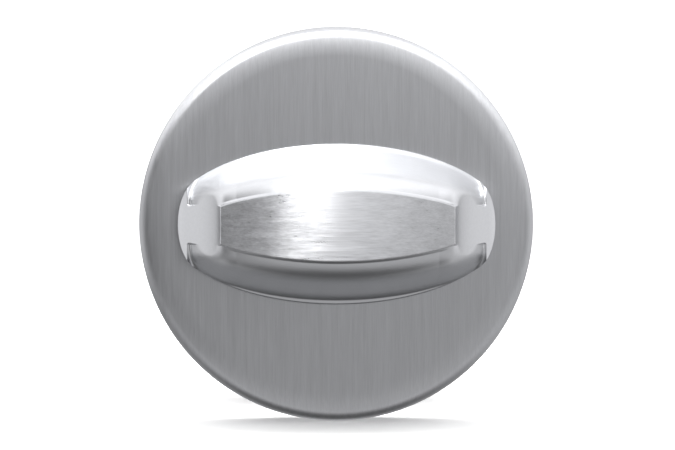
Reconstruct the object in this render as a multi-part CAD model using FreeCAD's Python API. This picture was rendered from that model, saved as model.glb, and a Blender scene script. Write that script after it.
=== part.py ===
import FreeCAD, Part
import math
import os

from FreeCAD import Vector

# Deadbolt door lock: both trim halves, bolted together as they are on a 44.5 mm door.
# The lock's axis is Y. The thumb turn and its round rose are on the room side (-Y), the key
# cylinder and its tapered collar are on the street side (+Y), and Y = 0 is the door's inner
# face. +Z is up and every size is in millimetres.

# ---- driving dimensions --------------------------------------------------------------------

DOOR = 44.5
SLIDE_GAP = 0.05            # radial clearance of a turning fit

ROSE_R = 32.5
ROSE_DEPTH = 10.0
ROSE_WALL = 1.2
ROSE_SHOULDER_R = 29.0      # where the flat face starts to fall away a little
ROSE_SHOULDER_BEND_R = 50.0
ROSE_SHOULDER_FALL = 0.2
ROSE_RIM_BEND_R = 2.0
ROSE_HOLE_R = 8.5

TURN_HALF_WIDTH = 13.15
TURN_HALF_LENGTH = 26.15
TURN_SIDE_R = 53.0          # bulge of the two long sides of the outline
TURN_END_R = 60.0           # bulge of the two short ends
TURN_CORNER_R = 4.8
TURN_HEIGHT = 17.0          # crown of the blade above the underside of the foot
TURN_FOOT = 1.7
TURN_FOOT_EDGE_R = 0.8
TURN_GAP = 0.2              # air between the foot and the rose
TURN_LIP = 0.9              # width of the foot that shows outside the flanks
FLANK_IN = 6.1              # how far the flanks lean in on their way up to the crown
FLANK_HOLLOW_R = 36.0
CROWN_HALF = 19.5
CROWN_R = 50.0
CROWN_BEND_R = 3.5
RIDGE_R = 0.7

SHANK_R = 7.0
SHANK_END = -2.5
SHANK_FLAT = 5.6
BUSH_R = 10.5
BUSH_FLANGE = 0.8
WAVE_R = 10.0
WAVE_T = 0.3
WAVE_SWING = 0.15
WAVE_COUNT = 3
WASHER_R = 10.2
WASHER_T = 0.45
STOP_R = 10.5
STOP_T = 1.4
STOP_LUG_R = 14.0
STOP_LUG_HALF = 8.0         # degrees
STOP_TAB_HALF = 5.0
STOP_PLAY = 0.7
TURN_TRAVEL = 90.0
CLIP_T = 0.8
CLIP_R = 8.8
CLIP_GROOVE_R = 6.2

PLATE_R = 30.9
PLATE_T = 1.6
PLATE_HOLE_R = 12.0
PLATE_SPIGOT_R = 26.7       # lip that centres the plate in a 54 mm door bore
PLATE_SPIGOT_WALL = 1.6
PLATE_SPIGOT_LENGTH = 4.0
PLATE_LUG_HALF = 4.0
PLATE_LUG_T = 2.6
SET_SCREW_Y = -4.6
SET_SCREW_R = 1.5

BOLT_X = 19.0
BOLT_R = 2.0
BOLT_END = 50.0
BOLT_HEAD_R = 3.8
BOLT_HEAD = 2.4
POST_R = 4.2
POST_FROM = 36.0
POST_TO = 52.0

COLLAR_R = 31.0
COLLAR_FACE_R = 21.8
COLLAR_FOOT = 2.2
COLLAR_DEPTH = 17.8
COLLAR_WALL = 3.0
COLLAR_BORE_R = 16.8

HOUSING_R = 16.5
HOUSING_FLANGE_R = 17.6
HOUSING_FLANGE = 0.8
HOUSING_BACK = 33.0
PLUG_R = 6.35
PLUG_FACE_R = 7.2
PLUG_FACE = 1.4
STUB_R = 5.8
STUB_BACK = 30.6
CAVITY_R = 4.9
CAVITY_TO = 35.4
CAP_R = 8.4
CAP_T = 1.6
HEAD_LUG_HALF = 15.0        # degrees, for the driving lugs of the plug and the tailpiece
HEAD_AHEAD = 135.0          # the tailpiece's lug stands this far ahead of the plug's
HEAD_R = 2.95
TAIL_W = 5.4
TAIL_T = 2.2
TAIL_TIP = -9.3
TAIL_SLOT_END = -9.7

PIN_COUNT = 5
PIN_PITCH = 3.97
PIN_FIRST = 5.9             # first pin, behind the cylinder's face
PIN_R = 1.45
PIN_HOLE_R = 1.5
PIN_TIP_R = 0.7
PIN_TOP = 6.15
DRIVER_FOOT = 6.42
DRIVER_LENGTH = 4.4
SPRING_WIRE_R = 0.22
SPRING_R = 1.15
SPRING_TURNS = 4
CHAMBER_TOP = 14.65
COVER_TOP = 16.0
COVER_HALF = 1.9

KEY_T = 2.0
KEY_LOW = -4.6
KEY_HIGH = 3.2
KEYWAY_PLAY = 0.12
WARD_LOW = -2.2
WARD_HIGH = -1.1
WARD_DEPTH = 0.5
KEY_CUTS = (1.2, 2.4, 0.8, 2.0, 1.6)
CUT_FLOOR_HALF = 0.75
CUT_FLARE = 1.2             # a cut widens by this much for each millimetre of height
BOW_R = 12.0
BOW_HOLE_R = 3.5
NECK_HALF = 5.0

FOOT_Y = -ROSE_DEPTH - TURN_GAP
FOOT_TOP_Y = FOOT_Y - TURN_FOOT
CROWN_Y = FOOT_Y - TURN_HEIGHT
BLADE_BASE_Y = FOOT_Y - TURN_FOOT / 2
BUSH_BACK = -ROSE_DEPTH + ROSE_WALL + BUSH_FLANGE
WAVE_BACK = BUSH_BACK + WAVE_T + 2 * WAVE_SWING
WASHER_FRONT = WAVE_BACK + 0.05
WASHER_BACK = WASHER_FRONT + WASHER_T
STOP_BACK = WASHER_BACK + STOP_T
CLIP_FRONT = STOP_BACK + 0.05
CLIP_BACK = CLIP_FRONT + CLIP_T
COLLAR_FACE_Y = DOOR + COLLAR_DEPTH
FACE_Y = COLLAR_FACE_Y + HOUSING_FLANGE
CAP_FRONT = HOUSING_BACK - 0.05
KEY_TIP = FACE_Y - 25.6
BOW_Y = FACE_Y + 16.5


# ---- helpers -------------------------------------------------------------------------------

def rod(r, y0, y1, x=0.0, z=0.0):
    """A round bar along Y."""
    return Part.makeCylinder(r, y1 - y0, Vector(x, y0, z), Vector(0, 1, 0))


def upright(r, z0, z1, x=0.0, y=0.0):
    """A round bar along Z."""
    return Part.makeCylinder(r, z1 - z0, Vector(x, y, z0), Vector(0, 0, 1))


def ring(r_out, r_in, y0, y1):
    return rod(r_out, y0, y1).cut(rod(r_in, y0 - 1, y1 + 1))


def box(x0, x1, y0, y1, z0, z1):
    return Part.makeBox(x1 - x0, y1 - y0, z1 - z0, Vector(x0, y0, z0))


def prism(points, along):
    """A flat outline through the points, pushed along a vector."""
    return Part.Face(Part.makePolygon(points + [points[0]])).extrude(along)


def turned(shape, degrees):
    """The shape turned about the lock's axis, clockwise as seen from the room."""
    copy = shape.copy()
    copy.rotate(Vector(0, 0, 0), Vector(0, 1, 0), degrees)
    return copy


def joined(shapes):
    """One solid from overlapping shapes."""
    whole = shapes[0].multiFuse(shapes[1:]).removeSplitter()
    return whole.Solids[0]


def lathe(corners):
    """A solid turned about Y from corners (radius, y, rounding)."""
    count = len(corners)
    runs = []
    for i, (r, y, rounding) in enumerate(corners):
        here = Vector(r, y, 0)
        to_last = (Vector(*corners[i - 1][:2], 0) - here).normalize()
        to_next = (Vector(*corners[(i + 1) % count][:2], 0) - here).normalize()
        half = to_last.getAngle(to_next) / 2
        back = rounding / math.tan(half)
        middle = (to_last + to_next).normalize()
        deep = here + middle * (rounding / math.sin(half) - rounding)
        runs.append((here + to_last * back, deep, here + to_next * back))
    edges = []
    for i, (start, deep, end) in enumerate(runs):
        if (end - start).Length > 1e-6:
            edges.append(Part.Arc(start, deep, end).toShape())
        after = runs[(i + 1) % count][0]
        edges.append(Part.LineSegment(end, after).toShape())
    face = Part.Face(Part.Wire(edges))
    return face.revolve(Vector(0, 0, 0), Vector(0, 1, 0), 360)


def sector(r_in, r_out, half, y0, y1):
    """A piece of a ring, half degrees to each side of straight up."""
    reach = r_out * 1.5
    side = reach * math.tan(math.radians(half))
    wedge = [Vector(0, y0, 0), Vector(side, y0, reach), Vector(-side, y0, reach)]
    return prism(wedge, Vector(0, y1 - y0, 0)).common(ring(r_out, r_in, y0, y1))


def front_edges(shape, y):
    """The edges that lie wholly in the plane at y, where the shape begins."""
    edges = []
    for edge in shape.Edges:
        if edge.BoundBox.YMax < y + 1e-6:
            edges.append(edge)
    return edges


def pin_y(index):
    return FACE_Y - PIN_FIRST - index * PIN_PITCH


# ---- room side -----------------------------------------------------------------------------

def rose_outline(wall, back):
    """The rose's turned outline, moved inwards by wall and open at back."""
    slope = ROSE_SHOULDER_FALL / (ROSE_R - ROSE_SHOULDER_R)
    drop = wall * math.hypot(1, slope)
    shoulder = ROSE_SHOULDER_R + (wall - drop) / slope
    rim = ROSE_R - wall
    rim_y = -ROSE_DEPTH + drop + slope * (rim - ROSE_SHOULDER_R)
    return [
        (1, -ROSE_DEPTH + wall, 0),
        (shoulder, -ROSE_DEPTH + wall, ROSE_SHOULDER_BEND_R - wall),
        (rim, rim_y, ROSE_RIM_BEND_R - wall),
        (rim, back, 0),
        (1, back, 0),
    ]


def inside_rose():
    """Pressed cap, open at the back, with a hole in its skirt for the set screw."""
    cap = lathe(rose_outline(0.0, 0.0)).cut(lathe(rose_outline(ROSE_WALL, 1.0)))
    cap = cap.cut(rod(ROSE_HOLE_R, -ROSE_DEPTH - 1, 0))
    screw_hole = upright(SET_SCREW_R + 0.2, -ROSE_R - 1, -ROSE_R + 4, 0, SET_SCREW_Y)
    return cap.cut(screw_hole)


def turn_slab(inset, y0, y1):
    """The foot's outline moved inwards by inset, as a slab."""
    side = TURN_HALF_WIDTH - TURN_SIDE_R
    end = TURN_HALF_LENGTH - TURN_END_R
    slab = rod(TURN_SIDE_R - inset, y0, y1, 0, side)
    slab = slab.common(rod(TURN_SIDE_R - inset, y0, y1, 0, -side))
    slab = slab.common(rod(TURN_END_R - inset, y0, y1, end, 0))
    slab = slab.common(rod(TURN_END_R - inset, y0, y1, -end, 0))
    corners = []
    for edge in slab.Edges:
        if edge.BoundBox.YLength > (y1 - y0) * 0.9:
            corners.append(edge)
    return slab.makeFillet(TURN_CORNER_R - inset, corners)


def turn_foot():
    """The flat base plate of the turn, its front edge rounded over."""
    foot = turn_slab(0, FOOT_TOP_Y, FOOT_Y)
    return foot.makeFillet(TURN_FOOT_EDGE_R, front_edges(foot, FOOT_TOP_Y))


def turn_arch():
    """The blade seen from the side: a long crown, a bend at each end and a steep ramp."""
    bend_y = CROWN_Y + CROWN_R - math.sqrt(CROWN_R ** 2 - CROWN_HALF ** 2)
    ramp_foot = TURN_HALF_LENGTH - TURN_LIP
    lean = (ramp_foot - CROWN_HALF) / (FOOT_TOP_Y - bend_y)
    top_y = CROWN_Y - 2
    top_x = CROWN_HALF - lean * (bend_y - top_y)
    low_x = ramp_foot + lean * (BLADE_BASE_Y - FOOT_TOP_Y)
    side = [
        Vector(-low_x, BLADE_BASE_Y, -20),
        Vector(-top_x, top_y, -20),
        Vector(top_x, top_y, -20),
        Vector(low_x, BLADE_BASE_Y, -20),
    ]
    block = prism(side, Vector(0, 0, 40))
    block = block.common(upright(CROWN_R, -20, 20, 0, CROWN_Y + CROWN_R))
    bends = []
    for edge in block.Edges:
        at_bend = abs(abs(edge.CenterOfMass.x) - CROWN_HALF) < 0.1
        if at_bend and edge.BoundBox.ZLength > 39:
            bends.append(edge)
    return block.makeFillet(CROWN_BEND_R, bends)


def flank_body(side):
    """Everything inside one scooped flank (side is 1 for the upper flank)."""
    r_low = TURN_SIDE_R - TURN_LIP
    rise = TURN_HEIGHT - TURN_FOOT
    chord = math.hypot(FLANK_IN, rise)
    away = math.sqrt(FLANK_HOLLOW_R ** 2 - chord ** 2 / 4)
    centre_r = r_low - FLANK_IN / 2 + away * rise / chord
    centre_y = (FOOT_TOP_Y + CROWN_Y) / 2 - away * FLANK_IN / chord

    def at(y):
        across = math.sqrt(FLANK_HOLLOW_R ** 2 - (y - centre_y) ** 2)
        return Vector(centre_r - across, y, 0)

    low = at(BLADE_BASE_Y)
    high = at(CROWN_Y - 1)
    edges = [
        Part.LineSegment(Vector(0, low.y, 0), low).toShape(),
        Part.Arc(low, at((low.y + high.y) / 2), high).toShape(),
        Part.LineSegment(high, Vector(0, high.y, 0)).toShape(),
        Part.LineSegment(Vector(0, high.y, 0), Vector(0, low.y, 0)).toShape(),
    ]
    body = Part.Face(Part.Wire(edges)).revolve(Vector(0, 0, 0), Vector(0, 1, 0), 360)
    body.translate(Vector(0, 0, side * (TURN_HALF_WIDTH - TURN_SIDE_R)))
    return body


def turn_blade():
    """The finger blade: a crowned arch with a scooped flank above and below."""
    blade = turn_arch().common(flank_body(1)).common(flank_body(-1))
    ridges = []
    for edge in blade.Edges:
        if edge.BoundBox.YLength > 0.2 and edge.BoundBox.XLength > 0.2:
            ridges.append(edge)
    blade = blade.makeFillet(RIDGE_R, ridges)
    return blade.common(turn_slab(TURN_LIP, CROWN_Y - 1, FOOT_Y))


def turn_shank():
    """Round shank with two flats for the stop disc, a clip groove and the tailpiece slot."""
    shank = rod(SHANK_R, FOOT_Y - 0.5, SHANK_END)
    round_part = box(-9, 9, FOOT_Y - 1, WASHER_BACK, -9, 9)
    flat_part = box(-SHANK_FLAT, SHANK_FLAT, WASHER_BACK - 1, 0, -9, 9)
    shank = shank.common(round_part.fuse(flat_part))
    shank = shank.cut(ring(SHANK_R + 1, CLIP_GROOVE_R, CLIP_FRONT, CLIP_BACK))
    half_t = TAIL_T / 2 + 0.1
    half_w = TAIL_W / 2 + 0.1
    return shank.cut(box(-half_t, half_t, TAIL_SLOT_END, 0, -half_w, half_w))


def thumb_turn():
    """Cast turn: foot, blade and shank in one piece."""
    return joined([turn_foot(), turn_blade(), turn_shank()])


def turn_bush():
    """Nylon bush in the rose's hole, its flange behind the face."""
    sleeve = ring(ROSE_HOLE_R - 0.05, SHANK_R + SLIDE_GAP, -ROSE_DEPTH, BUSH_BACK)
    flange = ring(BUSH_R, SHANK_R + SLIDE_GAP, BUSH_BACK - BUSH_FLANGE, BUSH_BACK)
    return joined([sleeve, flange])


def wavy_ring(r, y):
    """A closed curve round the axis that rises and falls once for each wave."""
    points = []
    for step in range(36):
        angle = math.radians(step * 10)
        lift = WAVE_SWING * math.cos(WAVE_COUNT * angle)
        points.append(Vector(r * math.sin(angle), y + lift, r * math.cos(angle)))
    curve = Part.BSplineCurve()
    curve.interpolate(Points=points, PeriodicFlag=True)
    return curve.toShape()


def wave_washer():
    """Spring-steel washer pressed into three waves."""
    middle = (BUSH_BACK + WAVE_BACK) / 2
    inner_r = SHANK_R + 0.3
    front_in = wavy_ring(inner_r, middle - WAVE_T / 2)
    front_out = wavy_ring(WAVE_R, middle - WAVE_T / 2)
    back_in = wavy_ring(inner_r, middle + WAVE_T / 2)
    back_out = wavy_ring(WAVE_R, middle + WAVE_T / 2)
    faces = [
        Part.makeRuledSurface(front_in, front_out),
        Part.makeRuledSurface(back_in, back_out),
        Part.makeRuledSurface(front_in, back_in),
        Part.makeRuledSurface(front_out, back_out),
    ]
    shell = Part.makeShell(faces)
    shell.sewShape()
    return Part.makeSolid(shell)


def thrust_washer():
    return ring(WASHER_R, SHANK_R + SLIDE_GAP, WASHER_FRONT, WASHER_BACK)


def stop_disc():
    """Steel disc driven by the shank's flats; its lug runs between the plate's two tabs."""
    disc = rod(STOP_R, WASHER_BACK, STOP_BACK)
    lug = sector(STOP_R - 1, STOP_LUG_R, STOP_LUG_HALF, WASHER_BACK, STOP_BACK)
    hole = rod(SHANK_R + SLIDE_GAP, WASHER_BACK - 1, STOP_BACK + 1)
    flat = SHANK_FLAT + SLIDE_GAP
    hole = hole.common(box(-flat, flat, WASHER_BACK - 1, STOP_BACK + 1, -9, 9))
    return joined([disc, lug]).cut(hole)


def retaining_clip():
    """Open spring ring in the shank's groove; it keeps the turn in the rose."""
    clip = ring(CLIP_R, CLIP_GROOVE_R + SLIDE_GAP, CLIP_FRONT + 0.03, CLIP_BACK - 0.03)
    gap = sector(1, CLIP_R + 1, 28, CLIP_FRONT - 1, CLIP_BACK + 1)
    return clip.cut(turned(gap, 180))


def mounting_plate():
    """Steel plate against the door: spigot, two stop tabs and a lug for the set screw."""
    plate = rod(PLATE_R, -PLATE_T, 0)
    spigot = ring(PLATE_SPIGOT_R, PLATE_SPIGOT_R - PLATE_SPIGOT_WALL, -0.5, PLATE_SPIGOT_LENGTH)
    lug_top = -PLATE_R + PLATE_LUG_T
    lug = box(-PLATE_LUG_HALF, PLATE_LUG_HALF, -7.0, -0.5, -PLATE_R - 1, lug_top)
    lug = lug.common(rod(PLATE_R, -9, 1))
    plate = joined([plate, spigot, lug]).cut(rod(PLATE_HOLE_R, -PLATE_T - 1, 1))
    past = STOP_LUG_HALF + STOP_TAB_HALF + STOP_PLAY
    tab = sector(PLATE_HOLE_R - 0.6, STOP_LUG_R, STOP_TAB_HALF, WASHER_BACK, 0)
    plate = joined([plate, turned(tab, -past), turned(tab, TURN_TRAVEL + past)])
    for side in (-1, 1):
        plate = plate.cut(rod(BOLT_R + 0.25, -PLATE_T - 1, 1, side * BOLT_X))
    return plate.cut(upright(SET_SCREW_R + 0.03, -PLATE_R - 1, lug_top + 1, 0, SET_SCREW_Y))


def rose_set_screw():
    """Headless screw with a hexagon socket, sunk flush in the rose's skirt."""
    screw = upright(SET_SCREW_R, -ROSE_R + 0.2, -PLATE_R + PLATE_LUG_T + 1.0, 0, SET_SCREW_Y)
    socket = []
    for step in range(6):
        angle = math.radians(60 * step)
        across = Vector(0.75 * math.cos(angle), SET_SCREW_Y + 0.75 * math.sin(angle), -ROSE_R)
        socket.append(across)
    return screw.cut(prism(socket, Vector(0, 0, 1.8)))


def through_bolts():
    """Two machine screws that pull the two halves together through the door."""
    bolts = []
    for side in (-1, 1):
        x = side * BOLT_X
        head_y = -PLATE_T - BOLT_HEAD
        head = rod(BOLT_HEAD_R, head_y, -PLATE_T, x)
        head = head.makeFillet(1.2, front_edges(head, head_y))
        bolt = joined([head, rod(BOLT_R, -PLATE_T - 0.5, BOLT_END, x)])
        for across, along in ((0.5, 2.0), (2.0, 0.5)):
            bolt = bolt.cut(box(x - across, x + across, head_y - 1, head_y + 1.6, -along, along))
        bolts.append(bolt)
    return Part.makeCompound(bolts)


def tailpiece():
    """Flat bar from the plug's cavity to the turn's slot, with one driving lug."""
    half_t = TAIL_T / 2
    half_w = TAIL_W / 2
    bar = box(-half_t, half_t, TAIL_TIP, CAVITY_TO - 1, -half_w, half_w)
    head = rod(HEAD_R, STUB_BACK + 0.1, CAVITY_TO - 0.1)
    lug = sector(HEAD_R - 1, CAVITY_R - 0.1, HEAD_LUG_HALF, STUB_BACK + 0.1, CAVITY_TO - 0.1)
    return joined([bar, head, turned(lug, HEAD_AHEAD)])


# ---- street side ---------------------------------------------------------------------------

def outside_collar():
    """Tapered guard collar round the cylinder; the housing's rim clamps it to the door."""
    foot = DOOR + COLLAR_FOOT
    outer = lathe([
        (1, DOOR, 0),
        (COLLAR_R, DOOR, 0),
        (COLLAR_R, foot, 0.8),
        (COLLAR_FACE_R, COLLAR_FACE_Y, 1.6),
        (1, COLLAR_FACE_Y, 0),
    ])
    inner = lathe([
        (1, DOOR - 1, 0),
        (COLLAR_R - COLLAR_WALL, DOOR - 1, 0),
        (COLLAR_R - COLLAR_WALL, foot - 0.6, 1.0),
        (COLLAR_FACE_R - 2.2, COLLAR_FACE_Y - COLLAR_WALL, 1.0),
        (1, COLLAR_FACE_Y - COLLAR_WALL, 0),
    ])
    return outer.cut(inner).cut(rod(COLLAR_BORE_R, DOOR, COLLAR_FACE_Y + 1))


def cylinder_housing():
    """Cast body: rim in front of the collar, plug bore, pin chambers and two tapped posts."""
    body = lathe([
        (1, HOUSING_BACK, 0),
        (HOUSING_R, HOUSING_BACK, 0.5),
        (HOUSING_R, COLLAR_FACE_Y, 0),
        (HOUSING_FLANGE_R, COLLAR_FACE_Y, 0),
        (HOUSING_FLANGE_R, FACE_Y, 0.5),
        (1, FACE_Y, 0),
    ])
    parts = [body, box(-BOLT_X, BOLT_X, POST_FROM, POST_TO, -POST_R, POST_R)]
    for side in (-1, 1):
        parts.append(rod(POST_R, POST_FROM, POST_TO, side * BOLT_X))
    body = joined(parts)
    body = body.cut(rod(PLUG_R + SLIDE_GAP, HOUSING_BACK - 1, FACE_Y + 1))
    counterbore_y = FACE_Y - PLUG_FACE - SLIDE_GAP
    body = body.cut(rod(PLUG_FACE_R + SLIDE_GAP, counterbore_y, FACE_Y + 1))
    for side in (-1, 1):
        body = body.cut(rod(BOLT_R + 0.05, POST_FROM - 1, BOLT_END + 0.5, side * BOLT_X))
    for index in range(PIN_COUNT):
        body = body.cut(upright(PIN_HOLE_R, 3, HOUSING_R + 1, 0, pin_y(index)))
    slot_end = pin_y(PIN_COUNT - 1) - 2.6
    slot = box(-COVER_HALF, COVER_HALF, slot_end, pin_y(0) + 2.6, CHAMBER_TOP, HOUSING_R + 1)
    return body.cut(slot)


def keyway(y0, y1, play):
    """The key's section with play all round, as a bar from y0 to y1."""
    half = KEY_T / 2 + play
    bar = box(-half, half, y0, y1, KEY_LOW - play, KEY_HIGH + play)
    ward = box(half - WARD_DEPTH, half + 1, y0 - 1, y1 + 1, WARD_LOW + play, WARD_HIGH - play)
    return bar.cut(ward)


def key_plug():
    """Turning plug: keyway, five pin holes, rear stub and one driving lug in its cavity."""
    plug = joined([
        rod(STUB_R, STUB_BACK, HOUSING_BACK + 1),
        rod(PLUG_R, HOUSING_BACK, FACE_Y - 0.1),
        rod(PLUG_FACE_R, FACE_Y - PLUG_FACE, FACE_Y - 0.1),
    ])
    plug = plug.cut(rod(CAVITY_R, STUB_BACK - 1, CAVITY_TO))
    lug = sector(HEAD_R + 0.1, CAVITY_R + 0.3, HEAD_LUG_HALF, STUB_BACK + 0.3, CAVITY_TO + 0.3)
    plug = joined([plug, lug])
    plug = plug.cut(keyway(KEY_TIP - 0.4, FACE_Y + 1, KEYWAY_PLAY))
    for index in range(PIN_COUNT):
        plug = plug.cut(upright(PIN_HOLE_R, 0, PLUG_R + 1, 0, pin_y(index)))
    return plug


def plug_cap():
    """Threaded cup on the plug's stub; it holds the plug in the housing and the tailpiece."""
    cup = rod(CAP_R, STUB_BACK - CAP_T, CAP_FRONT)
    cup = cup.cut(rod(STUB_R + 0.04, STUB_BACK, CAP_FRONT + 1))
    return cup.cut(rod(HEAD_R + 0.05, STUB_BACK - CAP_T - 1, STUB_BACK + 1))


def key_pin(index):
    """Key pin with a coned tip standing in its cut of the key."""
    floor = KEY_HIGH - KEY_CUTS[index]
    cone_top = floor + PIN_R - PIN_TIP_R
    y = pin_y(index)
    tip = Part.makeCone(PIN_TIP_R, PIN_R, cone_top - floor, Vector(0, y, floor))
    return joined([tip, upright(PIN_R, cone_top, PIN_TOP, 0, y)])


def driver_pins():
    """Five equal driver pins, waisted against picking, just above the shear line."""
    pins = []
    for index in range(PIN_COUNT):
        y = pin_y(index)
        pin = upright(PIN_R, DRIVER_FOOT, DRIVER_FOOT + DRIVER_LENGTH, 0, y)
        sleeve = upright(PIN_R + 1, DRIVER_FOOT + 1.2, DRIVER_FOOT + 3.2, 0, y)
        waist = upright(PIN_R - 0.35, DRIVER_FOOT, DRIVER_FOOT + 4, 0, y)
        pins.append(pin.cut(sleeve.cut(waist)))
    return Part.makeCompound(pins)


def pin_springs():
    """Five bronze coil springs between the driver pins and the cover."""
    low = DRIVER_FOOT + DRIVER_LENGTH + SPRING_WIRE_R + 0.02
    high = CHAMBER_TOP - SPRING_WIRE_R - 0.02
    path = Part.makeHelix((high - low) / SPRING_TURNS, high - low, SPRING_R)
    circle = Part.makeCircle(SPRING_WIRE_R, Vector(SPRING_R, 0, 0), Vector(0, 1, 0))
    coil = Part.Wire(path.Edges).makePipeShell([Part.Wire([circle])], True, True)
    springs = []
    for index in range(PIN_COUNT):
        spring = coil.copy()
        spring.rotate(Vector(0, 0, 0), Vector(0, 0, 1), 72 * index)
        spring.translate(Vector(0, pin_y(index), low))
        springs.append(spring)
    return Part.makeCompound(springs)


def chamber_cover():
    """Brass strip pressed into the slot over the pin chambers."""
    y0 = pin_y(PIN_COUNT - 1) - 2.55
    y1 = pin_y(0) + 2.55
    return box(-COVER_HALF + 0.03, COVER_HALF - 0.03, y0, y1, CHAMBER_TOP, COVER_TOP)


def key_notch(y, depth):
    """A V cut in the key's back for the pin at y."""
    floor = KEY_HIGH - depth
    high = KEY_HIGH + 1
    flare = CUT_FLOOR_HALF + CUT_FLARE * (high - floor)
    outline = [
        Vector(-3, y - CUT_FLOOR_HALF, floor),
        Vector(-3, y + CUT_FLOOR_HALF, floor),
        Vector(-3, y + flare, high),
        Vector(-3, y - flare, high),
    ]
    return prism(outline, Vector(6, 0, 0))


def house_key():
    """Cut key: grooved blade with five V cuts, a shoulder against the plug and a round bow."""
    blade = keyway(KEY_TIP, FACE_Y + 3, 0)
    tip = [
        Vector(-3, KEY_TIP - 1, KEY_LOW - 1),
        Vector(-3, KEY_TIP + 3.4, KEY_LOW - 1),
        Vector(-3, KEY_TIP - 1, KEY_LOW + 4),
    ]
    blade = blade.cut(prism(tip, Vector(6, 0, 0)))
    for index, depth in enumerate(KEY_CUTS):
        blade = blade.cut(key_notch(pin_y(index), depth))
    half = KEY_T / 2
    neck = box(-half, half, FACE_Y + 0.1, BOW_Y, -NECK_HALF, NECK_HALF)
    bow = Part.makeCylinder(BOW_R, KEY_T, Vector(-half, BOW_Y, 0), Vector(1, 0, 0))
    key = joined([blade, neck, bow])
    hole = Part.makeCylinder(BOW_HOLE_R, 6, Vector(-3, BOW_Y + 5.6, 0), Vector(1, 0, 0))
    return key.cut(hole)


# ---- write every piece ---------------------------------------------------------------------

PIECES = {
    "inside_rose": inside_rose,
    "thumb_turn": thumb_turn,
    "turn_bush": turn_bush,
    "wave_washer": wave_washer,
    "thrust_washer": thrust_washer,
    "stop_disc": stop_disc,
    "retaining_clip": retaining_clip,
    "mounting_plate": mounting_plate,
    "rose_set_screw": rose_set_screw,
    "through_bolts": through_bolts,
    "tailpiece": tailpiece,
    "outside_collar": outside_collar,
    "cylinder_housing": cylinder_housing,
    "key_plug": key_plug,
    "plug_cap": plug_cap,
    "driver_pins": driver_pins,
    "pin_springs": pin_springs,
    "chamber_cover": chamber_cover,
    "house_key": house_key,
}

os.makedirs("parts", exist_ok=True)
for name, make in PIECES.items():
    make().exportStep("parts/" + name + ".step")
for index in range(PIN_COUNT):
    key_pin(index).exportStep("parts/key_pin_" + str(index + 1) + ".step")
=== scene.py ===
import math

import bpy
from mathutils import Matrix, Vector


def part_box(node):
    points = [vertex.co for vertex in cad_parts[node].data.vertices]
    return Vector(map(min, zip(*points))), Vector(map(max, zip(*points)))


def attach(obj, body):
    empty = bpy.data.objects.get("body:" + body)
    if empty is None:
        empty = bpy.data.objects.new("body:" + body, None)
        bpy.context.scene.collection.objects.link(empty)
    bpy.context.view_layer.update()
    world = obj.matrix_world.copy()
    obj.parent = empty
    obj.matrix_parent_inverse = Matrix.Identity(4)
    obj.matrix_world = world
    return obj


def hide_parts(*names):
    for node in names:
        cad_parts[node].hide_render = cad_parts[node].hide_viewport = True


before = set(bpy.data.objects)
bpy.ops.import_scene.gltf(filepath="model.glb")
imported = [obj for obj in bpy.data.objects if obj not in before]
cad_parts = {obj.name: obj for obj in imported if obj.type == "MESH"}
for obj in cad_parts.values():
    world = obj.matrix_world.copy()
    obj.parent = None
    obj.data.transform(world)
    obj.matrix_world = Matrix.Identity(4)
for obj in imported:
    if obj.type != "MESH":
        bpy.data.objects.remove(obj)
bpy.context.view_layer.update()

# ---- Camera and studio -----------------------------------------------------------------------
# The lock stands on its rose's rim, on a pale table inside a round white screen. The metal mirrors
# a soft all-round glow and a tall soft box above the camera; a wide box behind lights the table.

scene = bpy.context.scene
scene.view_settings.view_transform = "Standard"

floor_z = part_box("inside_rose")[0].z


def linear(hex_code):
    """An sRGB hex colour as linear RGBA."""
    channels = []
    for i in (0, 2, 4):
        value = int(hex_code[i:i + 2], 16) / 255
        channels.append(value / 12.92 if value < 0.04045 else ((value + 0.055) / 1.055) ** 2.4)
    return (*channels, 1.0)


def node(tree, kind, links=(), **settings):
    """Adds a shader node; settings are its attributes or input values, links its inputs' sources."""
    made = tree.nodes.new("ShaderNode" + kind)
    for key, value in settings.items():
        if key in made.inputs:
            made.inputs[key].default_value = value
        elif hasattr(made, key):
            setattr(made, key, value)
        else:
            made.inputs[key.replace("_", " ")].default_value = value
    for socket, source in dict(links).items():
        tree.links.new(source, made.inputs[socket])
    return made


def aim(thing, spot):
    """Turns a camera or light to look at a spot."""
    thing.rotation_euler = (Vector(spot) - thing.location).to_track_quat("-Z", "Y").to_euler()


camera = bpy.data.objects.new("camera", bpy.data.cameras.new("camera"))
scene.collection.objects.link(camera)
camera.data.sensor_width = 36
camera.data.lens = 162.7
camera.data.clip_start = 0.01
camera.location = (-0.008, -0.51, 0.0085)
aim(camera, (0.00015, -0.010, -0.00015))
scene.camera = camera


def soft_box(name, spot, size, watts, target=(0, -0.02, 0)):
    """A rectangular studio light."""
    light = bpy.data.lights.new(name, "AREA")
    light.shape = "RECTANGLE"
    light.size, light.size_y = size
    light.energy = watts
    lamp = bpy.data.objects.new(name, light)
    scene.collection.objects.link(lamp)
    lamp.location = spot
    aim(lamp, target)
    return lamp


key_box = soft_box("key_box", (-0.085, -0.365, 0.473), (0.17, 0.56), 2.3)
key_box.visible_diffuse = False
top_box = soft_box("top_box", (0, 0.38, 0.80), (3.4, 0.6), 44.0, (0, 0, floor_z))
top_box.visible_glossy = False


def rise(tree, value, start, end, low, high):
    """A smooth change from low to high while the value goes from start to end."""
    return node(tree, "MapRange", {"Value": value}, interpolation_type="SMOOTHSTEP",
                From_Min=start, From_Max=end, To_Min=low, To_Max=high).outputs[0]


def joined(tree, operation, *values):
    """Several values added or multiplied together."""
    total = values[0]
    for value in values[1:]:
        total = node(tree, "Math", {0: total, 1: value}, operation=operation).outputs[0]
    return total


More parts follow.
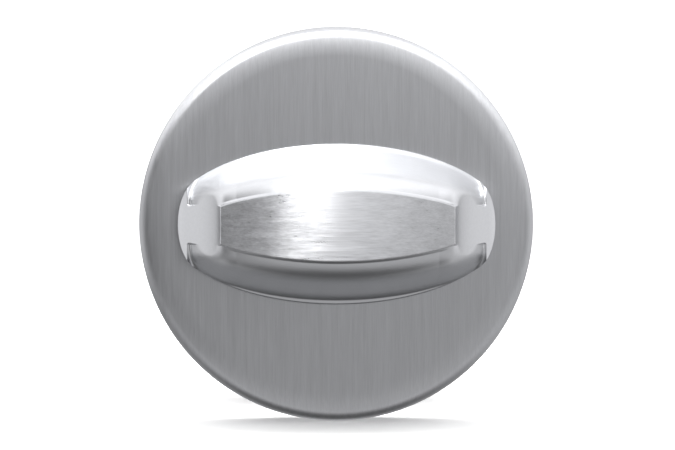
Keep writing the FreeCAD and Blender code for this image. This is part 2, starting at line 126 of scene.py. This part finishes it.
world = bpy.data.worlds.new("studio")
scene.world = world
world.cycles_visibility.diffuse = False
world.use_nodes = True
studio = world.node_tree
sky_place = node(studio, "TexCoord").outputs["Generated"]
sky = node(studio, "SeparateXYZ", {0: sky_place})
side, back, up = sky.outputs
# Ahead of the lock, behind the camera: the table below, the room's two sides at eye height, and
# the ceiling, which reaches down less far at the sides.
table_glow = joined(studio, "MULTIPLY", rise(studio, up, -1.0, -0.6, 0.10, 0.62),
                    rise(studio, side, -0.9, -0.35, 0.45, 1.0))
sides = joined(studio, "ADD", rise(studio, side, -0.30, 0.12, 0.16, 0.64),
               rise(studio, side, 0.2, 0.75, 0.0, -0.2))
above_table = rise(studio, up, -0.45, -0.10, 0.0, 1.0)
room = node(studio, "Mix", {"Factor": above_table, "A": table_glow, "B": sides}, data_type="FLOAT")
low_down = joined(studio, "ADD", rise(studio, side, -0.70, -0.20, 0.0, 1.0),
                  rise(studio, side, 0.15, 0.60, 0.0, -0.6))
high_up = node(studio, "Mix", {"Factor": rise(studio, up, 0.40, 0.70, 0.0, 1.0), "A": low_down},
               data_type="FLOAT", B=1.0)
ceiling = joined(studio, "MULTIPLY", rise(studio, up, -0.05, 0.55, 0.0, 1.2), high_up.outputs[0])
ahead = joined(studio, "ADD", room.outputs[0], ceiling)
# Behind the lock: a bright wall, which the rims and other steep edges mirror.
wall_glow = joined(studio, "ADD", rise(studio, back, 0.1, 0.75, 1.08, 0.72),
                   rise(studio, up, 0.12, 0.45, 0.0, 0.45))
behind = joined(studio, "MULTIPLY", rise(studio, back, -0.4, 0.12, 0.0, 1.0),
                rise(studio, up, -0.5, -0.1, 0.0, 1.0))
level = node(studio, "Mix", {"Factor": behind, "A": ahead, "B": wall_glow}, data_type="FLOAT")
studio.links.new(level.outputs[0], studio.nodes["Background"].inputs["Strength"])
studio.nodes["Background"].inputs["Color"].default_value = linear("fdfdff")


def staged(name, points, faces, material):
    """A piece of the studio that the lock's metal doesn't mirror."""
    mesh = bpy.data.meshes.new(name)
    mesh.from_pydata(points, [], faces)
    mesh.materials.append(material)
    thing = bpy.data.objects.new(name, mesh)
    scene.collection.objects.link(thing)
    thing.visible_glossy = False
    return thing


def glowing_white(name):
    """A white material that can glow, and its surface node."""
    material = bpy.data.materials.new(name)
    material.use_nodes = True
    surface = material.node_tree.nodes["Principled BSDF"]
    surface.inputs["Base Color"].default_value = linear("ffffff")
    surface.inputs["Emission Color"].default_value = linear("ffffff")
    return material, surface


# White paper: matt, with painted light: it glows faintly near the lock as a shadowless fill, and glows more
# with distance until it meets the screen without a line.
paper, paper_surface = glowing_white("white_paper")
paper_tree = paper.node_tree
paper_surface.inputs["Roughness"].default_value = 0.9
away = node(paper_tree, "VectorMath", {0: node(paper_tree, "TexCoord").outputs["Object"]}, operation="LENGTH")
# Painted light: the paper's glow, 0.27 by the lock rising to 1.2 far off.
glow = rise(paper_tree, away.outputs["Value"], 0.15, 0.60, 0.27, 1.2)
paper_tree.links.new(glow, paper_surface.inputs["Emission Strength"])
# Lit screen: an even white.
lit_screen, lit_surface = glowing_white("lit_screen")
lit_surface.inputs["Emission Strength"].default_value = 1.0

SCREEN_R = 3.0
SCREEN_TOP = 3.0
SCREEN_SIDES = 48

screen_points = []
screen_faces = []
for k in range(SCREEN_SIDES):
    angle = 2 * math.pi * k / SCREEN_SIDES
    for z in (floor_z, SCREEN_TOP):
        screen_points.append((SCREEN_R * math.cos(angle), SCREEN_R * math.sin(angle), z))
    n = (k + 1) % SCREEN_SIDES
    screen_faces.append((2 * k, 2 * k + 1, 2 * n + 1, 2 * n))
staged("table", screen_points[::2], [tuple(range(SCREEN_SIDES))], paper)
screen = staged("screen", screen_points, screen_faces, lit_screen)
screen.visible_diffuse = False
screen.visible_shadow = False


# ---- Rose ------------------------------------------------------------------------------------
# Pressed steel cap, 65 mm across and 1.2 mm thick, plated with nickel and brushed straight up and
# down on a belt. The face is faintly domed and ends in a tight rolled rim.

ROSE_R = 32.5
ROSE_DEPTH = 10.0
ROSE_WALL = 1.2
ROSE_RIM_BEND = 2.0           # the shoulder ends this far in from the edge
ROSE_RIM_EDGE = 0.15          # small chamfer where the rim meets the door
ROSE_DOME_R = 900.0
ROSE_DOME_RADII = (13, 18, 23)
ROSE_SHOULDER_R = 27.6        # from here the face leans back ever more towards the rim
ROSE_SHOULDER_BEND_R = 22.0
ROSE_SHOULDER_STEP = 0.01     # radians
ROSE_HOLE_R = 8.5
SET_SCREW_Y = -4.6
SET_SCREW_R = 1.5
SCREW_CLEARANCE = 0.2


def mesh_object(name, points, faces):
    """A mesh object from points in millimetres."""
    mesh = bpy.data.meshes.new(name)
    mesh.from_pydata([(x / 1000, y / 1000, z / 1000) for x, y, z in points], [], faces)
    mesh.validate()
    thing = bpy.data.objects.new(name, mesh)
    scene.collection.objects.link(thing)
    return thing


def skin(name, rings, closed=False):
    """A mesh through rings of equally many points; unless closed, the two ends are capped."""
    count = len(rings[0])
    points = [point for ring in rings for point in ring]
    faces = []
    for i in range(len(rings) if closed else len(rings) - 1):
        a = i * count
        b = (i + 1) % len(rings) * count
        for k in range(count):
            n = (k + 1) % count
            faces.append((a + k, a + n, b + n, b + k))
    if not closed:
        for a, turn in ((0, -1), (len(points) - count, 1)):
            for k in range(count // 2):
                strip = (a + k, a + k + 1, a + count - k - 1, a + (count - k) % count)
                faces.append(tuple(dict.fromkeys(strip))[::turn])
    return mesh_object(name, points, faces)


def turned_rings(outline, count):
    """The outline turned about the lock's axis, one ring for each of its points."""
    rings = []
    for r, y in outline:
        ring = []
        for k in range(count):
            angle = 2 * math.pi * k / count
            ring.append((r * math.sin(angle), y, r * math.cos(angle)))
        rings.append(ring)
    return rings


def hole_rings(r, y, low, high, count=48):
    """Two rings of a round bar that stands upright from low to high, in the middle of the lock."""
    rings = []
    for z in (low, high):
        ring = []
        for k in range(count):
            angle = 2 * math.pi * k / count
            ring.append((r * math.cos(angle), y + r * math.sin(angle), z))
        rings.append(ring)
    return rings


def cut_out(thing, tool):
    """Cuts one closed mesh out of another, and clears the tool away."""
    cutter = thing.modifiers.new("cut", "BOOLEAN")
    cutter.operation = "DIFFERENCE"
    cutter.solver = "EXACT"
    cutter.object = tool
    graph = bpy.context.evaluated_depsgraph_get()
    cut = bpy.data.meshes.new_from_object(thing.evaluated_get(graph))
    thing.modifiers.clear()
    thing.data = cut
    bpy.data.objects.remove(tool)


def smooth(thing, degrees=35):
    """Smooth shading that keeps edges sharper than the angle."""
    thing.data.shade_smooth()
    thing.data.set_sharp_from_angle(angle=math.radians(degrees))


def lay_out(thing, across):
    """Flat texture coordinates; u runs across the brush lines, in millimetres."""
    layer = thing.data.uv_layers.new(name="brush")
    for polygon in thing.data.polygons:
        for loop in polygon.loop_indices:
            spot = thing.data.vertices[thing.data.loops[loop].vertex_index].co * 1000
            layer.data[loop].uv = across(spot, polygon.normal)


def brushed_metal(name, hex_code, along, roughness, lean, streaks=1.0):
    """Metal drawn over an abrasive belt along one axis ("x", "y" or "z"): fine parallel scratches
    spread every highlight across them. Belt scratches are about 0.05 mm apart; they are drawn
    at 0.15 mm so that they show."""
    material = bpy.data.materials.new(name)
    material.use_nodes = True
    tree = material.node_tree
    metal = tree.nodes["Principled BSDF"]
    metal.inputs["Metallic"].default_value = 1.0
    metal.inputs["Anisotropic"].default_value = lean
    place = node(tree, "TexCoord")
    fine = [6500.0, 6500.0, 6500.0]
    fine["xyz".index(along)] = 220.0
    broad = [1800.0, 1800.0, 1800.0]
    broad["xyz".index(along)] = 40.0
    fine_place = node(tree, "Mapping", {"Vector": place.outputs["Object"]}, Scale=fine)
    broad_place = node(tree, "Mapping", {"Vector": place.outputs["Object"]}, Scale=broad)
    scratch = node(tree, "TexNoise", {"Vector": fine_place.outputs[0]}, Scale=1.0, Detail=3.0)
    band = node(tree, "TexNoise", {"Vector": broad_place.outputs[0]}, Scale=1.0, Detail=2.0)
    cloud = node(tree, "TexNoise", {"Vector": place.outputs["Object"]}, Scale=70.0, Detail=2.0)
    both = node(tree, "Math", {0: scratch.outputs[0], 1: band.outputs[0]}, operation="ADD")
    worn = node(tree, "Math", {0: both.outputs[0], 1: cloud.outputs[0]}, operation="ADD")
    rough = node(tree, "MapRange", {"Value": worn.outputs[0]}, From_Min=0.9, From_Max=2.1,
                 To_Min=roughness - 0.06 * streaks, To_Max=roughness + 0.06 * streaks)
    shade = node(tree, "MapRange", {"Value": both.outputs[0]}, From_Min=0.6, From_Max=1.4,
                 To_Min=1 - 0.09 * streaks, To_Max=1 + 0.09 * streaks)
    colour = node(tree, "VectorMath", {1: shade.outputs[0]}, operation="MULTIPLY")
    colour.inputs[0].default_value = linear(hex_code)[:3]
    bump = node(tree, "Bump", {"Height": both.outputs[0]}, Strength=0.08 * streaks, Distance=0.0001)
    tangent = node(tree, "Tangent", direction_type="UV_MAP", uv_map="brush")
    tree.links.new(colour.outputs[0], metal.inputs["Base Color"])
    tree.links.new(rough.outputs[0], metal.inputs["Roughness"])
    tree.links.new(bump.outputs[0], metal.inputs["Normal"])
    tree.links.new(tangent.outputs[0], metal.inputs["Tangent"])
    return material


def rose_section():
    """The cap's outline from its hole to the rim's back edge, and back along the inside."""
    radii = (ROSE_HOLE_R, *ROSE_DOME_RADII, ROSE_SHOULDER_R)
    outside = [(r, -ROSE_DEPTH + r * r / (2 * ROSE_DOME_R)) for r in radii]
    lean = ROSE_SHOULDER_R / ROSE_DOME_R
    stride = ROSE_SHOULDER_BEND_R * ROSE_SHOULDER_STEP
    while outside[-1][0] < ROSE_R - ROSE_RIM_BEND:
        lean += ROSE_SHOULDER_STEP
        r, y = outside[-1]
        outside.append((r + stride, y + stride * math.tan(lean)))
    bend = (ROSE_R - outside[-1][0]) / (1 - math.sin(lean))
    bend_r = ROSE_R - bend
    bend_y = outside[-1][1] + bend * math.cos(lean)
    for step in range(1, 19):
        angle = lean + (math.pi / 2 - lean) * step / 18
        outside.append((bend_r + bend * math.sin(angle), bend_y - bend * math.cos(angle)))
    outside.append((ROSE_R, -ROSE_RIM_EDGE))
    outside.append((ROSE_R - ROSE_RIM_EDGE, 0))
    inner_bend = bend - ROSE_WALL
    shoulder_drop = 0.4
    inside = [(ROSE_HOLE_R, -ROSE_DEPTH + ROSE_WALL)]
    inside.append((ROSE_SHOULDER_R, -ROSE_DEPTH + ROSE_WALL + shoulder_drop))
    for step in range(9):
        angle = math.pi / 2 * step / 8
        inside.append((bend_r + inner_bend * math.sin(angle), bend_y - inner_bend * math.cos(angle)))
    inside.append((ROSE_R - ROSE_WALL, 0))
    return outside + inside[::-1]


rose = skin("rose", turned_rings(rose_section(), 256), closed=True)
screw_hole = hole_rings(SET_SCREW_R + SCREW_CLEARANCE, SET_SCREW_Y, -ROSE_R - 1, -ROSE_R + 4)
cut_out(rose, skin("screw_hole", screw_hole))
smooth(rose)
lay_out(rose, lambda spot, facing: (spot.x, spot.z) if facing.y < -0.2 else (spot.y, spot.x + spot.z))
# Upright-brushed nickel: mid grey, finely striped, with highlights drawn out sideways.
rose_nickel = brushed_metal("brushed_nickel_upright", "cacbcd", "z", 0.36, 0.85)
rose.data.materials.append(rose_nickel)
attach(rose, "lock_frame")
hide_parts("inside_rose")


# ---- Thumb turn ------------------------------------------------------------------------------
# Zinc casting, 52.3 by 26.2 mm: a thin foot, and a crowned finger blade with scooped flanks and a
# steep ramp at each end. Plated like the rose; the crown is brushed lengthwise, the rest is satin.

OUTLINE_A = 27.6            # half axes of the oval that the long sides follow
OUTLINE_B = 13.15
END_R = 60.0                # curve of the two ends
HALF_LENGTH = 26.15
CORNER = 2.6                # rounding between the long sides and the ends
FOOT_Y = -10.2
FOOT_T = 1.7
FOOT_EDGE = 0.25
LIP = 1.05                  # width of the lip at the middle of the long sides, and how much
LIP_TAPER = 0.6             # narrower it would be at the very ends
LIP_H = 1.15
LIP_SLOPE = 0.36
CROWN_R = 50.0
CROWN_HALF = 18.7
HEIGHT = 17.0
CREST_HALF = 5.6            # half width of the crown at its middle
CREST_R = 74.0              # and the curve of its two long edges
CREST_STEP = 0.35           # the crown stands this much proud of the flanks, over a narrow edge
CREST_STEP_W = 0.45
ROLL_AT = 0.5               # where the crest rolls over into the flank, and how softly, as
ROLL = 0.2                  # shares of the flank's width
ROLL_SLOPE = 0.15
SCOOP_END = 23.4            # where the flanks' scoops end, and the slope of the wall there
SCOOP_WALL_SLOPE = 2.0
FLANK_END_FALL = 0.68       # past the crown the flank's top falls away, starting softly
FLANK_END_SOFT = 1.2
CROWN_CAMBER = 0.006        # fall of the crown across its width, per mm squared
CRISP = 0.12                # roundings, as the width over which one face blends into the next
RAMP_BREAK = 0.15
WALL_SOFT = 2.0
FOOT_SOFT = 1.6
RAMP_SLOPE = 1.32           # the end ramps start steeply and run out at this slope
RAMP_TOP = 2.13             # extra drop of the ramp's steep start, within about this distance
RAMP_TOP_REACH = 1.2
SHANK_R = 7.0
SHANK_FLAT = 5.6
SLOT_HALF_T = 1.2           # the slot for the tailpiece, as half its thickness and half its width
SLOT_HALF_W = 2.8
SLOT_END = -9.7
SHANK_PROFILE = [(7.0, -2.5), (7.0, -4.65), (6.2, -4.65), (6.2, -5.45), (7.0, -5.45)]
FLATS_FROM = -6.9


def edge_depth(x, z):
    """How far a point lies inside the turn's outline."""
    reach = math.hypot(x / OUTLINE_A, z / OUTLINE_B)
    steep = math.hypot(x / OUTLINE_A ** 2, z / OUTLINE_B ** 2) / max(reach, 1e-6)
    side = (1 - reach) / max(steep, 1e-6)
    end = END_R - math.hypot(abs(x) + END_R - HALF_LENGTH, z)
    if side < CORNER and end < CORNER:
        return CORNER - math.hypot(CORNER - side, CORNER - end)
    return min(side, end)


def soft_low(a, b, width):
    """The lower of two heights, with the crease rounded over about the width."""
    h = max(width - abs(a - b), 0.0) / width
    return min(a, b) - h * h * width / 4


def spine_height(x):
    """Top of the blade's middle line above the foot's underside: crown, then end ramp."""
    crown = HEIGHT - (CROWN_R - math.sqrt(max(CROWN_R ** 2 - x * x, 0.0)))
    bend = HEIGHT - (CROWN_R - math.sqrt(CROWN_R ** 2 - CROWN_HALF ** 2))
    out = abs(x) - CROWN_HALF
    ramp = bend - out * RAMP_SLOPE - RAMP_TOP * (1 - math.exp(-out / RAMP_TOP_REACH))
    return soft_low(crown, ramp, RAMP_BREAK)


def rolled(share):
    """Fall of the flank, as a share of its height: it rolls over the crest, then drops steeply."""
    def curve(q):
        return math.hypot(q - ROLL_AT, ROLL) + q
    return (curve(share) - curve(0)) / (curve(1) - curve(0))


def crest_width(x):
    """Half width of the crown; the crest lines run on straight along the ramps."""
    return CREST_HALF - (CREST_R - math.sqrt(CREST_R ** 2 - min(abs(x), CROWN_HALF) ** 2))


def flank_height(x, z):
    """The flank from the crest down to the lip, closed by a round end wall."""
    lip = LIP - LIP_TAPER * (x / HALF_LENGTH) ** 2
    lip_z = OUTLINE_B * math.sqrt(max(1 - (x / OUTLINE_A) ** 2, 0.0)) - lip
    crest_z = crest_width(x)
    out = abs(z) - crest_z
    width = max(lip_z - crest_z, 0.5)
    past = abs(x) - CROWN_HALF
    top = HEIGHT - (CROWN_R - math.sqrt(CROWN_R ** 2 - x * x))
    top -= FLANK_END_FALL * (math.hypot(past, FLANK_END_SOFT) + past)
    edge = min(max(out / CREST_STEP_W, 0.0), 1.0)
    on_crown = min(max((CROWN_HALF - abs(x)) / 2.5, 0.0), 1.0)
    step = CREST_STEP * on_crown * edge * edge * (3 - 2 * edge)
    clear_of_crown = 3.0 * max(-out, 0.0)
    flank = top - CROWN_CAMBER * crest_z ** 2 - step - ROLL_SLOPE * out + clear_of_crown
    fall = top - FOOT_T - ROLL_SLOPE * width - CREST_STEP
    flank -= max(fall, 0.0) * rolled(min(max(out / width, 0.0), 1.3))
    wall = FOOT_T + (abs(x) - SCOOP_END) * SCOOP_WALL_SLOPE
    return -soft_low(-flank, -wall, WALL_SOFT)


def turn_height(x, z):
    """Top of the turn above the foot's underside: blade, then a hollow run-out to the lip."""
    inside = edge_depth(x, z)
    foot = LIP_H + LIP_SLOPE * inside
    if inside < FOOT_EDGE:
        foot -= FOOT_EDGE - math.sqrt(max(FOOT_EDGE ** 2 - (FOOT_EDGE - inside) ** 2, 0.0))
    blade = soft_low(spine_height(x) - CROWN_CAMBER * z * z, flank_height(x, z), CRISP)
    return -soft_low(-foot, -blade, FOOT_SOFT)


def outline_point(angle):
    """The point of the turn's outline in one direction from its middle."""
    low, high = 0.0, 40.0
    for _ in range(40):
        middle = (low + high) / 2
        if edge_depth(middle * math.cos(angle), middle * math.sin(angle)) > 0:
            low = middle
        else:
            high = middle
    return low * math.cos(angle), low * math.sin(angle)


AROUND_COUNT = 720

directions = []             # closer together near the turn's two ends
for k in range(AROUND_COUNT):
    phase = 2 * math.pi * k / AROUND_COUNT
    directions.append(math.atan2(0.5 * math.sin(phase), math.cos(phase)))
around = [outline_point(angle) for angle in directions]


def shank_ring(r, y, flat):
    """One ring of the shank, cut by two flats."""
    return [(max(min(r * math.cos(a), flat), -flat), y, r * math.sin(a)) for a in directions]


turn_rings = [shank_ring(r, y, SHANK_FLAT) for r, y in SHANK_PROFILE + [(SHANK_R, FLATS_FROM)]]
turn_rings.append(shank_ring(SHANK_R, FLATS_FROM, SHANK_R))
turn_rings.append(shank_ring(SHANK_R, FOOT_Y, SHANK_R))
for y in (FOOT_Y, FOOT_Y - LIP_H + FOOT_EDGE + 0.1):
    turn_rings.append([(x, y, z) for x, z in around])
# The rings over the top close in on the middle line, closely spaced near the lip.
LIP_ZONE = 0.2
END_PULL = 0.28             # how far the last ring has drawn in lengthwise
shares = [LIP_ZONE * (i / 40) ** 1.5 for i in range(1, 41)]
shares += [LIP_ZONE + 0.8 * i / 130 for i in range(1, 130)]
for share in shares:
    ring = []
    for x, z in around:
        px = x * (1 - END_PULL * share)
        pz = z * (1 - share)
        ring.append((px, FOOT_Y - turn_height(px, pz), pz))
    turn_rings.append(ring)
turn = skin("turn", turn_rings)
slot_corners = [(SLOT_HALF_T, SLOT_HALF_W), (-SLOT_HALF_T, SLOT_HALF_W),
                (-SLOT_HALF_T, -SLOT_HALF_W), (SLOT_HALF_T, -SLOT_HALF_W)]
slot_rings = [[(x, y, z) for x, z in slot_corners] for y in (SLOT_END, 1.0)]
cut_out(turn, skin("slot", slot_rings))
smooth(turn, 50)
lay_out(turn, lambda spot, facing: (spot.z, spot.x))
# Lengthwise-brushed nickel: the crown's coarser streaks, with a highlight as tall as the crown.
# Satin nickel on the flanks: smoother, so that they show broad soft bands of light and dark.
crown_nickel = brushed_metal("brushed_nickel_lengthwise", "cecfd1", "x", 0.35, 0.98, 1.8)
flank_nickel = brushed_metal("satin_nickel_flanks", "d1d2d4", "x", 0.30, 0.6, 0.5)
turn.data.materials.append(crown_nickel)
turn.data.materials.append(flank_nickel)
for polygon in turn.data.polygons:
    middle = polygon.center * 1000
    on_top = middle.y < -20 and abs(middle.x) < CROWN_HALF
    on_crown = on_top and abs(middle.z) < crest_width(middle.x) + 0.1
    polygon.material_index = 0 if on_crown else 1
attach(turn, "turn_train")
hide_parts("thumb_turn")


# ---- Turn bush -------------------------------------------------------------------------------
# Moulded nylon collar bush, pressed into the rose's hole so that the turn's shank runs quietly.
# Its CAD shape is kept.

def cad_finish(material, *nodes):
    """Gives CAD nodes a finish."""
    for name in nodes:
        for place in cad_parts[name].material_slots:
            place.material = material


def mottled(name, dark, light, roughness, metallic, grain=900.0, bump=0.05):
    """A surface whose tone and gloss wander a little between two shades."""
    material = bpy.data.materials.new(name)
    material.use_nodes = True
    tree = material.node_tree
    body = tree.nodes["Principled BSDF"]
    body.inputs["Metallic"].default_value = metallic
    place = node(tree, "TexCoord")
    cloud = node(tree, "TexNoise", {"Vector": place.outputs["Object"]}, Scale=grain / 6, Detail=3.0)
    specks = node(tree, "TexNoise", {"Vector": place.outputs["Object"]}, Scale=grain * 2, Detail=2.0)
    tone = node(tree, "Mix", {"Factor": cloud.outputs[0]}, data_type="RGBA",
                A=linear(dark), B=linear(light))
    gloss = node(tree, "MapRange", {"Value": cloud.outputs[0]}, From_Min=0.3, From_Max=0.7,
                 To_Min=roughness - 0.05, To_Max=roughness + 0.05)
    relief = node(tree, "Bump", {"Height": specks.outputs[0]}, Strength=bump, Distance=0.0001)
    tree.links.new(tone.outputs["Result"], body.inputs["Base Color"])
    tree.links.new(gloss.outputs[0], body.inputs["Roughness"])
    tree.links.new(relief.outputs[0], body.inputs["Normal"])
    return material


# Natural nylon: milky and slightly warm, with a soft sheen and faint flow marks.
nylon = mottled("natural_nylon", "d3cfc2", "e2dfd5", 0.45, 0.0)
nylon.node_tree.nodes["Principled BSDF"].inputs["IOR"].default_value = 1.53
cad_finish(nylon, "turn_bush")


# ---- Wave washer and retaining clip ----------------------------------------------------------
# The wave washer takes up the play behind the rose, and the open clip in the shank's groove holds
# the turn in. Both are stamped from hardened strip; their CAD shapes are kept.

# Oiled spring steel: dark blue-grey, glossy, with patchy oil.
spring_steel = mottled("oiled_spring_steel", "4a4c52", "63656c", 0.28, 1.0)
cad_finish(spring_steel, "wave_washer", "retaining_clip")


# ---- Thrust washer and stop disc -------------------------------------------------------------
# Stamped steel: the washer bears on the stop disc, and the disc sits on the shank's flats and
# limits the turn with its tab. Their CAD shapes are kept.

# Bright zinc plate: pale blue-grey with cloudy passivation, half glossy.
zinc_plate = mottled("bright_zinc_plate", "a9adb4", "c6c8c6", 0.34, 1.0, 600.0)
cad_finish(zinc_plate, "thrust_washer", "stop_disc")


# ---- Mounting plate --------------------------------------------------------------------------
# Stamped steel plate that the through bolts pull against the door, with a spigot in the door's
# bore, two stop tabs and the lug that the rose is screwed to. Its CAD shape is kept.

cad_finish(zinc_plate, "mounting_plate")


# ---- Rose set screw --------------------------------------------------------------------------
# Headless screw with a hexagon socket, black oxide on steel, up through the rose's skirt into the
# plate's lug. Its CAD shape is kept.

# Black oxide: nearly black and satin, worn a little paler.
black_oxide = mottled("black_oxide", "1d1d1f", "343436", 0.42, 1.0, 1500.0)
cad_finish(black_oxide, "rose_set_screw")


# ---- Through bolts ---------------------------------------------------------------------------
# Two zinc-plated 4 mm pan-head machine screws with a cross recess, from the mounting plate into
# the cylinder housing's posts. Their CAD shape is kept.

cad_finish(zinc_plate, "through_bolts")


# ---- Tailpiece -------------------------------------------------------------------------------
# Flat zinc-plated steel bar from the cylinder to the turn's slot; it drives the latch between
# them. Its CAD shape is kept.

cad_finish(zinc_plate, "tailpiece")


# ---- Outside collar --------------------------------------------------------------------------
# Tapered guard collar over the cylinder on the street face: turned, nickel plated and brushed
# round on the lathe. Its CAD shape is kept.

def lathe_brushed(name, hex_code, roughness, lean, streaks=1.0):
    """Metal brushed round the lock's axis: fine rings about 0.2 mm apart (drawn three times
    coarser than real ones), which stretch the highlights along the axis."""
    material = bpy.data.materials.new(name)
    material.use_nodes = True
    tree = material.node_tree
    metal = tree.nodes["Principled BSDF"]
    metal.inputs["Metallic"].default_value = 1.0
    metal.inputs["Anisotropic"].default_value = lean
    metal.inputs["Anisotropic Rotation"].default_value = 0.25
    place = node(tree, "TexCoord")
    split = node(tree, "SeparateXYZ", {0: place.outputs["Object"]})
    x, y, z = split.outputs
    reach = node(tree, "Math", {0: joined(tree, "MULTIPLY", x, x), 1: joined(tree, "MULTIPLY", z, z)},
                 operation="ADD")
    radius = node(tree, "Math", {0: reach.outputs[0]}, operation="SQRT")
    profile = node(tree, "CombineXYZ", {0: radius.outputs[0], 1: y})
    rings = node(tree, "TexNoise", {"Vector": profile.outputs[0]}, Scale=5000.0, Detail=2.0)
    cloud = node(tree, "TexNoise", {"Vector": place.outputs["Object"]}, Scale=90.0, Detail=2.0)
    worn = joined(tree, "ADD", rings.outputs[0], cloud.outputs[0])
    rough = node(tree, "MapRange", {"Value": worn}, From_Min=0.6, From_Max=1.4,
                 To_Min=roughness - 0.05 * streaks, To_Max=roughness + 0.05 * streaks)
    shade = node(tree, "MapRange", {"Value": rings.outputs[0]}, From_Min=0.3, From_Max=0.7,
                 To_Min=1 - 0.06 * streaks, To_Max=1 + 0.06 * streaks)
    colour = node(tree, "VectorMath", {1: shade.outputs[0]}, operation="MULTIPLY")
    colour.inputs[0].default_value = linear(hex_code)[:3]
    relief = node(tree, "Bump", {"Height": rings.outputs[0]}, Strength=0.06 * streaks, Distance=0.0001)
    tangent = node(tree, "Tangent", direction_type="RADIAL", axis="Y")
    tree.links.new(colour.outputs[0], metal.inputs["Base Color"])
    tree.links.new(rough.outputs[0], metal.inputs["Roughness"])
    tree.links.new(relief.outputs[0], metal.inputs["Normal"])
    tree.links.new(tangent.outputs[0], metal.inputs["Tangent"])
    return material


# Satin nickel brushed round: the rose's colour, with its sheen in two opposite fans.
round_nickel = lathe_brushed("brushed_nickel_round", "cacbcd", 0.36, 0.8)
cad_finish(round_nickel, "outside_collar")


# ---- Cylinder housing ------------------------------------------------------------------------
# Cast zinc body with the pin chambers and two tapped posts; its face shows through the collar and
# is nickel plated like it. Its CAD shape is kept.

# The same nickel on the cast face: a shade darker, with a rounder, duller sheen.
housing_nickel = lathe_brushed("brushed_nickel_housing", "c3c4c6", 0.40, 0.5)
cad_finish(housing_nickel, "cylinder_housing")


# ---- Key plug and cap ------------------------------------------------------------------------
# The plug is turned from brass bar and broached for the key; its threaded cap holds it in the
# housing and drives the tailpiece. Their CAD shapes are kept.

# Turned brass: warm yellow with fine tool rings.
turned_brass = lathe_brushed("turned_brass", "d0ad6b", 0.28, 0.6)
cad_finish(turned_brass, "key_plug", "plug_cap")


# ---- Pins, springs and chamber cover ---------------------------------------------------------
# Five brass key pins under five brass driver pins, each pushed by a fine coil spring, with a
# brass strip closing the chambers above. Their CAD shapes are kept.

# Tumbled brass: the same metal a little darker and duller. Phosphor bronze: redder and brighter.
tumbled_brass = mottled("tumbled_brass", "b08f52", "cbaa68", 0.32, 1.0)
spring_bronze = mottled("phosphor_bronze", "a9804f", "c79a62", 0.24, 1.0)
cad_finish(tumbled_brass, "driver_pins", "chamber_cover", *("key_pin_%d" % i for i in range(1, 6)))
cad_finish(spring_bronze, "pin_springs")


# ---- House key -------------------------------------------------------------------------------
# Brass blank cut to five depths, nickel plated and tumbled. Its CAD shape is kept.

# Tumbled nickel: warm, bright and a little uneven.
key_nickel = mottled("tumbled_nickel", "b9b4ac", "cfcbc4", 0.22, 1.0, 700.0)
cad_finish(key_nickel, "house_key")
